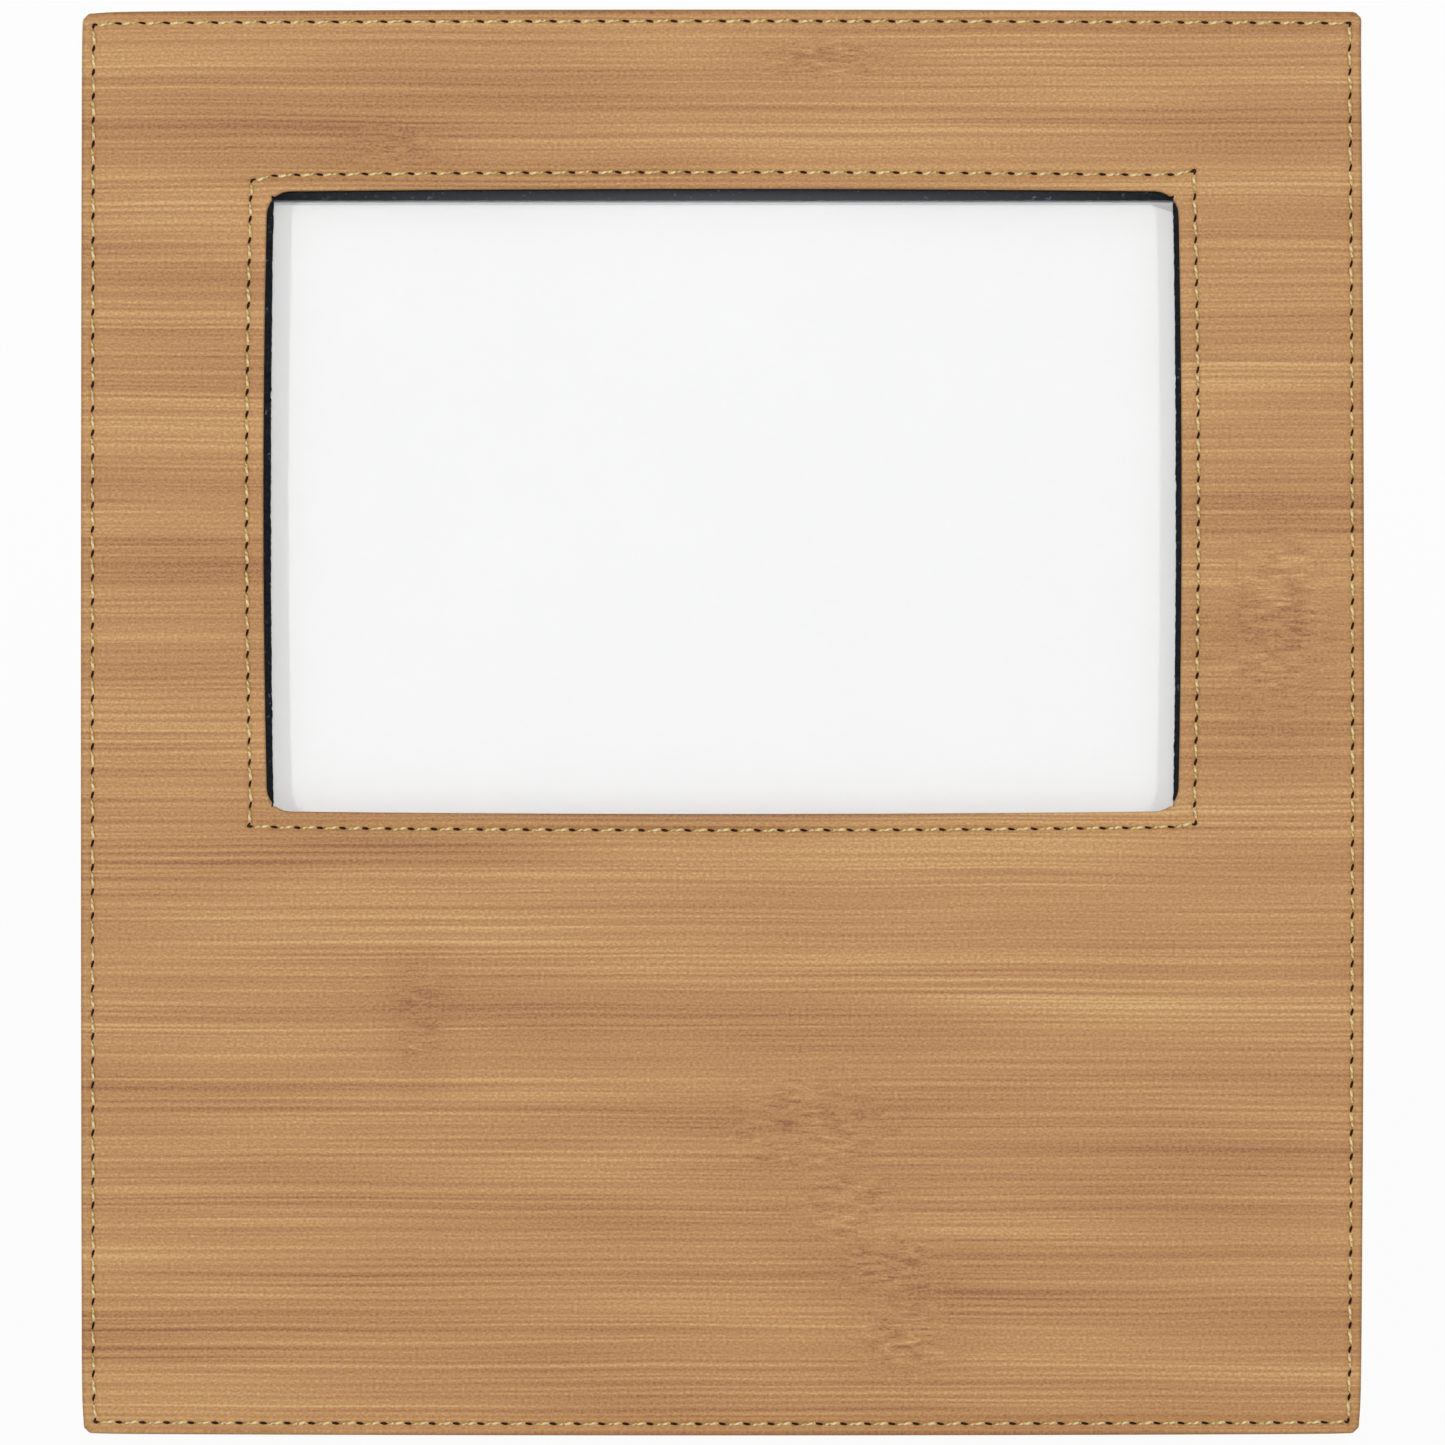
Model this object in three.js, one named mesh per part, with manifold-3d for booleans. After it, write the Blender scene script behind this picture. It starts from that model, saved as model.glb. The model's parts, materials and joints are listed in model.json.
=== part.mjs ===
// A leatherette photo frame that leans back on an open easel leg.
// Millimetres, +Z up, the face looks along -Y. The origin is on the table, at the middle of the footprint.
// Everything is built upright in one group (X across the face, Y from the face to the back, Z up the face),
// and that group is then leaned back until the lower back edge and the leg's foot stand on the table.
import * as THREE from "three";
import { mergeVertices } from "three/addons/utils/BufferGeometryUtils.js";
import Module from "manifold-3d";

const wasm = await Module();
wasm.setup();

// Overall size and stance: the borders are measured from the window to the frame's edges
const SIDE_BORDER = 32.45;
const TOP_BORDER = 31.9;
const LOWER_FIELD = 110.7;
const CORNER_RADIUS = 2;
const LEAN_DEG = 14;
const LEG_OPEN_DEG = 26;

// Clearances
const LAYER_GAP = 0.2;
const POCKET_CLEARANCE = 0.3;
const RUNNING_CLEARANCE = 0.2;
const SIDE_CLEARANCE = 0.3;

// Glass, and how far the window's edges overlap it
const GLASS_WIDTH = 177.8;
const GLASS_HEIGHT = 127;
const GLASS_THICKNESS = 2;
const GLASS_SIDE_OVERLAP = 7.05;
const GLASS_END_OVERLAP = 7.8;
const WINDOW_CORNER_RADIUS = 0.6;

// Leatherette cover, wrapped round the edges and turned in at the window
const SKIN_THICKNESS = 0.9;
const SKIN_EDGE_RADIUS = 0.8;
const BUTTON_TO_HEM = 1.2;
const FLAP_WIDTH = 12;
const FLAP_THICKNESS = 0.5;
const CORNER_SLIT_WIDTH = 0.5;
const CORNER_SLIT_REACH = 1.5;

// Seams
const THREAD_THICKNESS = 0.66;
const STITCH_PITCH = 4.3;
const EDGE_SEAM_INSET = 2.1;
const WINDOW_STITCH_PITCH = 4.1;
const WINDOW_SEAM_OUTSET = 2.9;
const SEAM_CHANNEL_WIDTH = 1.5;
const SEAM_CHANNEL_DEPTH = 0.45;
const STITCH_RISE = 0.36;
const STITCH_SLANT = 0.16;
const STITCH_SHOULDER = 0.26;

// Boards, lining and papers
const BOARD_THICKNESS = 1;
const LINING_THICKNESS = 0.3;
const LINING_SHOWS_LEFT = 1.3;
const LINING_SHOWS_RIGHT = 1;
const LINING_SHOWS_TOP = 2;
const LINING_HIDDEN_BOTTOM = 0.4;
const INSERT_THICKNESS = 0.3;
const INSERT_BELOW_WINDOW_TOP = 2.7;
const CARD_THICKNESS = 2;
const PANEL_THICKNESS = 3;
const PANEL_LEDGE = 3.8;

// Turn buttons and their screws
const BUTTON_THICKNESS = 0.8;
const BUTTON_RADIUS = 4;
const BUTTON_NOSE_RADIUS = 3.2;
const BUTTON_REACH = 9;
const BUTTON_FROM_PANEL = 5;
const BUTTON_SPACING = 120;
const SCREW_RADIUS = 1.4;
const SCREW_DEPTH = 6.5;
const SCREW_HEAD_RADIUS = 3;
const SCREW_HEAD_HEIGHT = 1.6;
const SCREW_SLOT_WIDTH = 0.7;
const SCREW_SLOT_LENGTH = 3.4;
const SCREW_SLOT_DEPTH = 0.8;

// Easel leg and its hinge
const HINGE_HEIGHT = 150;
const LEG_THICKNESS = 3;
const LEG_TOP_WIDTH = 46;
const LEG_FOOT_WIDTH = 62;
const LEG_FOOT_CORNER = 6;
const LEAF_THICKNESS = 1;
const PIN_RADIUS = 1.2;
const PIN_HEAD_RADIUS = 2;
const PIN_HEAD_LENGTH = 0.8;
const KNUCKLE_HALF_LENGTH = 15;
const MIDDLE_KNUCKLE_HALF_LENGTH = 6;
const PANEL_LEAF_HEIGHT = 22;
const LEG_LEAF_HEIGHT = 26;
const LEG_LEAF_WIDTH = 44;
const STOP_LUG_WIDTH = 4.6;
const STOP_LUG_LENGTH = 8;
const RIVET_RADIUS = 1.3;
const RIVET_HEAD_RADIUS = 2.6;
const RIVET_HEAD_HEIGHT = 1;
const PANEL_RIVET_SPACING = 18;
const LEG_RIVET_SPACING = 26;
const RIVET_FROM_PIN = 14;

// Depths of the layers, from the face (0) to the back
const boardFront = SKIN_THICKNESS + LAYER_GAP;
const boardBack = boardFront + BOARD_THICKNESS;
const bodyFront = boardBack + LAYER_GAP;
const flapBack = bodyFront + FLAP_THICKNESS;
const liningFront = flapBack + LAYER_GAP;
const liningBack = liningFront + LINING_THICKNESS;
const glassFront = liningBack + LAYER_GAP;
const glassBack = glassFront + GLASS_THICKNESS;
const insertFront = glassBack + LAYER_GAP;
const insertBack = insertFront + INSERT_THICKNESS;
const cardFront = insertBack + LAYER_GAP;
const cardBack = cardFront + CARD_THICKNESS;
const panelFront = cardBack + LAYER_GAP;
const panelBack = panelFront + PANEL_THICKNESS;
const bodyBack = panelBack;
const hemFront = bodyBack + LAYER_GAP;
const frameDepth = hemFront + SKIN_THICKNESS;

// Places and outlines on the face
const openingWidth = GLASS_WIDTH - 2 * GLASS_SIDE_OVERLAP;
const openingHeight = GLASS_HEIGHT - 2 * GLASS_END_OVERLAP;
const frameWidth = openingWidth + 2 * SIDE_BORDER;
const frameHeight = LOWER_FIELD + openingHeight + TOP_BORDER;
const middleHeight = frameHeight / 2;
const windowTop = frameHeight - TOP_BORDER;
const windowMiddle = windowTop - openingHeight / 2;
const innerWidth = frameWidth - 2 * SKIN_THICKNESS;
const innerHeight = frameHeight - 2 * SKIN_THICKNESS;
const innerRadius = CORNER_RADIUS - SKIN_THICKNESS;
const bodyWidth = innerWidth - 2 * LAYER_GAP;
const bodyHeight = innerHeight - 2 * LAYER_GAP;
const pocketWidth = GLASS_WIDTH + 2 * POCKET_CLEARANCE;
const pocketHeight = GLASS_HEIGHT + 2 * POCKET_CLEARANCE;
const panelWidth = pocketWidth + 2 * PANEL_LEDGE;
const panelHeight = pocketHeight + 2 * PANEL_LEDGE;
const rebateWidth = panelWidth + 2 * POCKET_CLEARANCE;
const rebateHeight = panelHeight + 2 * POCKET_CLEARANCE;
const sideRoom = (frameWidth - rebateWidth) / 2;
const topRoom = frameHeight - windowMiddle - rebateHeight / 2;
const hemWidth = Math.min(sideRoom, topRoom) - BUTTON_FROM_PANEL - BUTTON_RADIUS - BUTTON_TO_HEM;

// Hinge sizes that follow from the pin
const lean = THREE.MathUtils.degToRad(LEAN_DEG);
const legOpen = THREE.MathUtils.degToRad(LEG_OPEN_DEG);
const knuckleBore = PIN_RADIUS + RUNNING_CLEARANCE;
const knuckleRadius = knuckleBore + LEAF_THICKNESS;
const pinDepth = panelBack + LAYER_GAP + knuckleRadius;
const leafEdge = knuckleRadius + SIDE_CLEARANCE;
const legInnerFace = LAYER_GAP - knuckleBore;
const legOuterFace = legInnerFace + LEG_THICKNESS;
const rivetHole = RIVET_RADIUS + RUNNING_CLEARANCE;

// A closed three.js geometry as a solid that can be joined and cut.
function solidOf(geometry) {
  const plain = geometry.clone();
  plain.deleteAttribute("normal");
  plain.deleteAttribute("uv");
  const merged = mergeVertices(plain, 1e-4);
  return new wasm.Manifold(
    new wasm.Mesh({
      numProp: 3,
      vertProperties: new Float32Array(merged.attributes.position.array),
      triVerts: new Uint32Array(merged.index.array),
    }),
  );
}

function geometryOf(solid) {
  const mesh = solid.getMesh();
  const geometry = new THREE.BufferGeometry();
  geometry.setAttribute("position", new THREE.BufferAttribute(mesh.vertProperties, 3));
  geometry.setIndex(new THREE.BufferAttribute(mesh.triVerts, 1));
  geometry.computeVertexNormals();
  return geometry;
}

function cut(geometry, ...cutters) {
  return geometryOf(cutters.reduce((solid, cutter) => solid.subtract(solidOf(cutter)), solidOf(geometry)));
}

function join(first, ...others) {
  return geometryOf(others.reduce((solid, other) => solid.add(solidOf(other)), solidOf(first)));
}

function trace(path, width, height, radius, x, z) {
  const right = width / 2;
  const top = height / 2;
  path.moveTo(x - right + radius, z - top);
  path.lineTo(x + right - radius, z - top);
  path.absarc(x + right - radius, z - top + radius, radius, -Math.PI / 2, 0);
  path.lineTo(x + right, z + top - radius);
  path.absarc(x + right - radius, z + top - radius, radius, 0, Math.PI / 2);
  path.lineTo(x - right + radius, z + top);
  path.absarc(x - right + radius, z + top - radius, radius, Math.PI / 2, Math.PI);
  path.lineTo(x - right, z - top + radius);
  path.absarc(x - right + radius, z - top + radius, radius, Math.PI, 1.5 * Math.PI);
  path.closePath();
  return path;
}

// Rounded rectangles on the face: an outline, and the window-shaped hole in it.
function outline(width, height, radius, z = middleHeight, x = 0) {
  return trace(new THREE.Shape(), width, height, radius, x, z);
}

function withHole(shape, width, height, radius, z = windowMiddle, x = 0) {
  shape.holes.push(trace(new THREE.Path(), width, height, radius, x, z));
  return shape;
}

// A flat piece: an outline on the face, filled from one depth to another.
function sheet(shape, front, back, edgeRadius = 0) {
  const geometry = new THREE.ExtrudeGeometry(shape, {
    depth: back - front - 2 * edgeRadius,
    curveSegments: 2,
    bevelEnabled: edgeRadius > 0,
    bevelSize: edgeRadius,
    bevelThickness: edgeRadius,
    bevelOffset: -edgeRadius,
    bevelSegments: 3,
  });
  geometry.rotateX(Math.PI / 2);
  return geometry.translate(0, back - edgeRadius, 0);
}

// A bent strip: its section is drawn in Y and Z, and it runs along X.
function strip(section, left, right) {
  const geometry = new THREE.ExtrudeGeometry(section, {
    depth: right - left,
    curveSegments: 8,
    bevelEnabled: false,
  });
  const turn = new THREE.Matrix4().makeBasis(
    new THREE.Vector3(0, 1, 0),
    new THREE.Vector3(0, 0, 1),
    new THREE.Vector3(1, 0, 0),
  );
  return geometry.applyMatrix4(turn).translate(left, 0, 0);
}

// A round hole or shank square to the face, between two depths.
function round(radius, front, back, x, z, frontRadius = radius) {
  const geometry = new THREE.CylinderGeometry(radius, frontRadius, back - front, 16);
  return geometry.translate(x, (front + back) / 2, z);
}

function turned(profile) {
  return new THREE.LatheGeometry(profile.map(([radius, y]) => new THREE.Vector2(radius, y)), 14);
}

function piece(parent, name, geometry, finish) {
  const mesh = new THREE.Mesh(geometry, new THREE.MeshStandardMaterial(finish));
  mesh.name = name;
  parent.add(mesh);
  return mesh;
}

const leatherette = { color: 0xba8e60, roughness: 0.55, metalness: 0 };
const thread = { color: 0xdcc08c, roughness: 0.7, metalness: 0 };
const greyBoard = { color: 0x8f8a80, roughness: 0.9, metalness: 0 };
const blackPaper = { color: 0x24262a, roughness: 0.8, metalness: 0 };
const woodBoard = { color: 0x8a6a48, roughness: 0.85, metalness: 0 };
const clearGlass = { color: 0xe8f0f0, roughness: 0.05, metalness: 0, transparent: true, opacity: 0.3 };
const whitePaper = { color: 0xf6f6f6, roughness: 0.9, metalness: 0 };
const paleCard = { color: 0xd8d6d0, roughness: 0.95, metalness: 0 };
const platedSteel = { color: 0xb8bcc0, roughness: 0.35, metalness: 1 };

// The cover is one sheet: the face, the wrapped sides, the hems on the back and the turned-in window edge.
function coverGeometry() {
  const block = sheet(
    withHole(
      outline(frameWidth, frameHeight, CORNER_RADIUS),
      openingWidth,
      openingHeight,
      WINDOW_CORNER_RADIUS,
    ),
    0,
    frameDepth,
    SKIN_EDGE_RADIUS,
  );
  const wallWidth = openingWidth + 2 * SKIN_THICKNESS;
  const wallHeight = openingHeight + 2 * SKIN_THICKNESS;
  const wallRadius = WINDOW_CORNER_RADIUS + SKIN_THICKNESS;
  const flapWidth = openingWidth + 2 * FLAP_WIDTH;
  const flapHeight = openingHeight + 2 * FLAP_WIDTH;
  const room = () => outline(innerWidth, innerHeight, innerRadius);
  const boardRoom = sheet(withHole(room(), wallWidth, wallHeight, wallRadius), SKIN_THICKNESS, bodyFront);
  const aroundFlaps = sheet(withHole(room(), flapWidth, flapHeight, wallRadius), bodyFront, flapBack);
  const bodyRoom = sheet(room(), flapBack, hemFront);
  const backOpening = sheet(
    outline(frameWidth - 2 * hemWidth, frameHeight - 2 * hemWidth, innerRadius),
    bodyBack,
    frameDepth + 1,
  );
  return cut(
    block,
    boardRoom,
    aroundFlaps,
    bodyRoom,
    backOpening,
    channel(frameWidth - 2 * EDGE_SEAM_INSET, frameHeight - 2 * EDGE_SEAM_INSET, middleHeight),
    channel(openingWidth + 2 * WINDOW_SEAM_OUTSET, openingHeight + 2 * WINDOW_SEAM_OUTSET, windowMiddle),
    ...cornerSlits(),
  );
}

// The shallow channel that a seam pulls into the cover.
function channel(width, height, z) {
  const half = SEAM_CHANNEL_WIDTH / 2;
  const outer = outline(width + SEAM_CHANNEL_WIDTH, height + SEAM_CHANNEL_WIDTH, half, z);
  const inner = [width - SEAM_CHANNEL_WIDTH, height - SEAM_CHANNEL_WIDTH, half];
  return sheet(withHole(outer, ...inner, z), -1, SEAM_CHANNEL_DEPTH);
}

// At each window corner the cover is slit, so that its four flaps can turn in and lie flat.
function cornerSlits() {
  const slits = [];
  const flapReach = FLAP_WIDTH * Math.SQRT2;
  for (const side of [-1, 1]) {
    for (const end of [-1, 1]) {
      const z = windowMiddle + (end * openingHeight) / 2;
      const x = (side * openingWidth) / 2;
      for (const [reach, front] of [
        [CORNER_SLIT_REACH, -1],
        [flapReach, bodyFront - LAYER_GAP],
      ]) {
        const slit = new THREE.BoxGeometry(2 * reach, flapBack + 1 - front, CORNER_SLIT_WIDTH);
        slit.rotateY((-side * end * Math.PI) / 4);
        slits.push(slit.translate(x, (flapBack + 1 + front) / 2, z));
      }
    }
  }
  return slits;
}

// A line through points, whose steps fall on the points themselves.
class ThreadLine extends THREE.Curve {
  constructor(points) {
    super();
    this.points = points;
  }

  getPoint(t, target = new THREE.Vector3()) {
    const place = t * (this.points.length - 1);
    const index = Math.min(Math.floor(place), this.points.length - 2);
    return target.lerpVectors(this.points[index], this.points[index + 1], place - index);
  }

  getUtoTmapping(u) {
    return u;
  }
}

// One thread sewn round a rectangle: it dips at each needle hole and lies slanted between two holes.
function seamGeometry(width, height, z, pitch) {
  const corners = [
    new THREE.Vector2(-width / 2, z + height / 2),
    new THREE.Vector2(width / 2, z + height / 2),
    new THREE.Vector2(width / 2, z - height / 2),
    new THREE.Vector2(-width / 2, z - height / 2),
  ];
  const holes = [];
  corners.forEach((corner, index) => {
    const next = corners[(index + 1) % corners.length];
    const stitches = Math.round(corner.distanceTo(next) / pitch);
    for (let i = 0; i < stitches; i += 1) {
      holes.push(corner.clone().lerp(next, i / stitches));
    }
  });
  const endGap = 0.8 * THREAD_THICKNESS;
  holes.push(corners[0].clone().add(new THREE.Vector2(0, -endGap)));
  holes[0].x += endGap;
  const low = SEAM_CHANNEL_DEPTH - LAYER_GAP - THREAD_THICKNESS / 2;
  const high = low - STITCH_RISE;
  const points = [];
  for (let i = 0; i + 1 < holes.length; i += 1) {
    const along = holes[i + 1].clone().sub(holes[i]);
    const across = new THREE.Vector2(-along.y, along.x).normalize().multiplyScalar(STITCH_SLANT);
    const rising = holes[i].clone().addScaledVector(along, STITCH_SHOULDER).add(across);
    const falling = holes[i + 1].clone().addScaledVector(along, -STITCH_SHOULDER).sub(across);
    points.push(new THREE.Vector3(holes[i].x, low, holes[i].y));
    points.push(new THREE.Vector3(rising.x, high, rising.y));
    points.push(new THREE.Vector3(falling.x, high, falling.y));
  }
  const last = holes[holes.length - 1];
  points.push(new THREE.Vector3(last.x, low, last.y));
  const half = THREAD_THICKNESS / 2;
  const section = new THREE.Shape([
    new THREE.Vector2(-half, -half),
    new THREE.Vector2(half, -half),
    new THREE.Vector2(half, half),
    new THREE.Vector2(-half, half),
  ]);
  return new THREE.ExtrudeGeometry(section, {
    steps: points.length - 1,
    extrudePath: new ThreadLine(points),
  });
}

// The body is routed from one board: a step for the flaps, a pocket for the glass, a rebate for the panel.
function bodyGeometry() {
  const block = sheet(outline(bodyWidth, bodyHeight, innerRadius), bodyFront, bodyBack);
  const stepRoom = 2 * (FLAP_WIDTH + LAYER_GAP);
  const step = outline(openingWidth + stepRoom, openingHeight + stepRoom, 1, windowMiddle);
  const pocket = outline(pocketWidth, pocketHeight, 0.5, windowMiddle);
  const rebate = outline(rebateWidth, rebateHeight, 0.5, windowMiddle);
  const screwHoles = buttonPlaces().map(({ x, z }) =>
    round(SCREW_RADIUS + RUNNING_CLEARANCE, bodyBack - SCREW_DEPTH - LAYER_GAP, bodyBack + 1, x, z),
  );
  return cut(
    block,
    sheet(step, bodyFront - 1, glassFront),
    sheet(pocket, glassFront - 1, bodyBack + 1),
    sheet(rebate, panelFront - LAYER_GAP, bodyBack + 1),
    ...screwHoles,
  );
}

// Turn buttons: two above the panel, two below it and one on each side. turn = 0 points the nose down.
function buttonPlaces() {
  const above = windowMiddle + rebateHeight / 2 + BUTTON_FROM_PANEL;
  const below = windowMiddle - rebateHeight / 2 - BUTTON_FROM_PANEL;
  const beside = rebateWidth / 2 + BUTTON_FROM_PANEL;
  const apart = BUTTON_SPACING / 2;
  return [
    { x: -apart, z: above, turn: 0 },
    { x: apart, z: above, turn: 0 },
    { x: beside, z: windowMiddle, turn: Math.PI / 2 },
    { x: apart, z: below, turn: Math.PI },
    { x: -apart, z: below, turn: Math.PI },
    { x: -beside, z: windowMiddle, turn: -Math.PI / 2 },
  ];
}

function buttonGeometry() {
  const shape = new THREE.Shape();
  const slope = Math.asin((BUTTON_RADIUS - BUTTON_NOSE_RADIUS) / BUTTON_REACH);
  shape.absarc(0, 0, BUTTON_RADIUS, -slope, Math.PI + slope);
  shape.absarc(0, -BUTTON_REACH, BUTTON_NOSE_RADIUS, Math.PI + slope, 2 * Math.PI - slope);
  const front = LAYER_GAP;
  const plate = new THREE.ExtrudeGeometry(shape, {
    depth: BUTTON_THICKNESS,
    curveSegments: 7,
    bevelEnabled: false,
  });
  plate.rotateX(Math.PI / 2).translate(0, front + BUTTON_THICKNESS, 0);
  return cut(plate, round(SCREW_RADIUS + RUNNING_CLEARANCE, front - 1, front + BUTTON_THICKNESS + 1, 0, 0));
}

function screwGeometry() {
  const headFront = 2 * LAYER_GAP + BUTTON_THICKNESS;
  const headBack = headFront + SCREW_HEAD_HEIGHT;
  const screw = turned([
    [0, -SCREW_DEPTH],
    [SCREW_RADIUS * 0.6, -SCREW_DEPTH + 1],
    [SCREW_RADIUS, -SCREW_DEPTH + 2.5],
    [SCREW_RADIUS, headFront],
    [SCREW_HEAD_RADIUS, headFront],
    [SCREW_HEAD_RADIUS * 0.93, headFront + SCREW_HEAD_HEIGHT * 0.45],
    [SCREW_HEAD_RADIUS * 0.7, headFront + SCREW_HEAD_HEIGHT * 0.85],
    [0, headBack],
  ]);
  const slotMiddle = headBack - SCREW_SLOT_DEPTH / 2 + 0.5;
  const slots = [0, Math.PI / 2].map((angle) =>
    new THREE.BoxGeometry(SCREW_SLOT_LENGTH, SCREW_SLOT_DEPTH + 1, SCREW_SLOT_WIDTH)
      .rotateY(angle)
      .translate(0, slotMiddle, 0),
  );
  return cut(screw, ...slots);
}

// Domed end of a rivet, from the sheet that it holds outwards.
function rivetDome(y) {
  return [
    [RIVET_HEAD_RADIUS, y],
    [RIVET_HEAD_RADIUS * 0.8, y + RIVET_HEAD_HEIGHT * 0.65],
    [0, y + RIVET_HEAD_HEIGHT],
  ];
}

// Hinge. Section coordinates: the pin is at 0, Y points away from the panel and Z up along the leg.
function knuckle(left, right, up) {
  const ring = new THREE.Shape();
  ring.absarc(0, 0, knuckleRadius, 0, 2 * Math.PI);
  const bore = new THREE.Path();
  bore.absarc(0, 0, knuckleBore, 0, 2 * Math.PI);
  ring.holes.push(bore);
  const web = new THREE.Shape();
  web.moveTo(-knuckleRadius, 0);
  web.lineTo(-knuckleBore, 0);
  web.lineTo(-knuckleBore, up * (leafEdge + 1));
  web.lineTo(-knuckleRadius, up * (leafEdge + 1));
  return join(strip(ring, left, right), strip(web, left, right));
}

function leafPlate(width, from, to) {
  const plate = outline(width, Math.abs(to - from), 2, (from + to) / 2);
  return sheet(plate, -knuckleRadius, -knuckleBore);
}

function panelLeafGeometry() {
  const plate = leafPlate(2 * KNUCKLE_HALF_LENGTH, leafEdge, PANEL_LEAF_HEIGHT);
  const inner = MIDDLE_KNUCKLE_HALF_LENGTH + SIDE_CLEARANCE;
  const leaf = join(
    plate,
    knuckle(-KNUCKLE_HALF_LENGTH, -inner, 1),
    knuckle(inner, KNUCKLE_HALF_LENGTH, 1),
  );
  const holes = [-1, 1].map((side) =>
    round(rivetHole, -knuckleRadius - 1, 0, (side * PANEL_RIVET_SPACING) / 2, RIVET_FROM_PIN),
  );
  return cut(leaf, ...holes);
}

// A lug is bent out of the leg's leaf by the opening angle, so it lies flat on the panel when the leg is open.
function stopLug(left, right) {
  const lug = new THREE.Shape();
  const start = -Math.PI;
  const end = -Math.PI - legOpen;
  const along = new THREE.Vector2(Math.sin(legOpen), Math.cos(legOpen)).multiplyScalar(STOP_LUG_LENGTH);
  const inner = new THREE.Vector2(Math.cos(end), Math.sin(end)).multiplyScalar(knuckleRadius);
  const outer = new THREE.Vector2(Math.cos(end), Math.sin(end)).multiplyScalar(knuckleBore);
  lug.moveTo(-knuckleRadius, -leafEdge - 1);
  lug.absarc(0, 0, knuckleRadius, start, end, true);
  lug.lineTo(inner.x + along.x, inner.y + along.y);
  lug.lineTo(outer.x + along.x, outer.y + along.y);
  lug.absarc(0, 0, knuckleBore, end, start, false);
  lug.lineTo(-knuckleBore, -leafEdge - 1);
  return strip(lug, left, right);
}

function legLeafGeometry() {
  const half = LEG_LEAF_WIDTH / 2;
  const leaf = join(
    leafPlate(LEG_LEAF_WIDTH, -LEG_LEAF_HEIGHT, -leafEdge),
    knuckle(-MIDDLE_KNUCKLE_HALF_LENGTH, MIDDLE_KNUCKLE_HALF_LENGTH, -1),
    stopLug(-half, -half + STOP_LUG_WIDTH),
    stopLug(half - STOP_LUG_WIDTH, half),
  );
  const sunk = RIVET_RADIUS + LEAF_THICKNESS + RUNNING_CLEARANCE;
  const holes = [-1, 1].map((side) =>
    round(
      rivetHole,
      -knuckleRadius,
      -knuckleBore,
      (side * LEG_RIVET_SPACING) / 2,
      -RIVET_FROM_PIN,
      sunk,
    ),
  );
  return cut(leaf, ...holes);
}

function pinGeometry() {
  const shank = KNUCKLE_HALF_LENGTH + SIDE_CLEARANCE;
  const end = shank + PIN_HEAD_LENGTH;
  const pin = turned([
    [0, -end],
    [PIN_HEAD_RADIUS * 0.8, -end],
    [PIN_HEAD_RADIUS, -shank],
    [PIN_RADIUS, -shank],
    [PIN_RADIUS, shank],
    [PIN_HEAD_RADIUS, shank],
    [PIN_HEAD_RADIUS * 0.8, end],
    [0, end],
  ]);
  return pin.rotateZ(Math.PI / 2);
}

function legGeometry(length) {
  const shape = new THREE.Shape();
  const top = -leafEdge;
  const foot = LEG_FOOT_WIDTH / 2;
  const shoulder = LEG_TOP_WIDTH / 2;
  shape.moveTo(-shoulder, top);
  shape.lineTo(-foot, -length + LEG_FOOT_CORNER);
  shape.quadraticCurveTo(-foot, -length, -foot + LEG_FOOT_CORNER, -length);
  shape.lineTo(foot - LEG_FOOT_CORNER, -length);
  shape.quadraticCurveTo(foot, -length, foot, -length + LEG_FOOT_CORNER);
  shape.lineTo(shoulder, top);
  const holes = [-1, 1].map((side) =>
    round(rivetHole, legInnerFace - 1, legOuterFace + 1, (side * LEG_RIVET_SPACING) / 2, -RIVET_FROM_PIN),
  );
  return cut(sheet(shape, legInnerFace, legOuterFace), ...holes);
}

// Front of the frame
const upright = new THREE.Group();
const cover = piece(upright, "front_cover", coverGeometry(), leatherette);
piece(
  upright,
  "edge_seam",
  seamGeometry(
    frameWidth - 2 * EDGE_SEAM_INSET,
    frameHeight - 2 * EDGE_SEAM_INSET,
    middleHeight,
    STITCH_PITCH,
  ),
  thread,
);
piece(
  upright,
  "window_seam",
  seamGeometry(
    openingWidth + 2 * WINDOW_SEAM_OUTSET,
    openingHeight + 2 * WINDOW_SEAM_OUTSET,
    windowMiddle,
    WINDOW_STITCH_PITCH,
  ),
  thread,
);
const turnIn = 2 * (SKIN_THICKNESS + LAYER_GAP);
piece(
  upright,
  "front_board",
  sheet(
    withHole(outline(bodyWidth, bodyHeight, innerRadius), openingWidth + turnIn, openingHeight + turnIn, 2),
    boardFront,
    boardBack,
  ),
  greyBoard,
);
piece(
  upright,
  "window_lining",
  sheet(
    withHole(
      outline(openingWidth + 2 * FLAP_WIDTH, openingHeight + 2 * FLAP_WIDTH, 1, windowMiddle),
      openingWidth - LINING_SHOWS_LEFT - LINING_SHOWS_RIGHT,
      openingHeight - LINING_SHOWS_TOP + LINING_HIDDEN_BOTTOM,
      WINDOW_CORNER_RADIUS,
      windowMiddle - (LINING_SHOWS_TOP + LINING_HIDDEN_BOTTOM) / 2,
      (LINING_SHOWS_LEFT - LINING_SHOWS_RIGHT) / 2,
    ),
    liningFront,
    liningBack,
  ),
  blackPaper,
);
piece(upright, "body_frame", bodyGeometry(), woodBoard);

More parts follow.
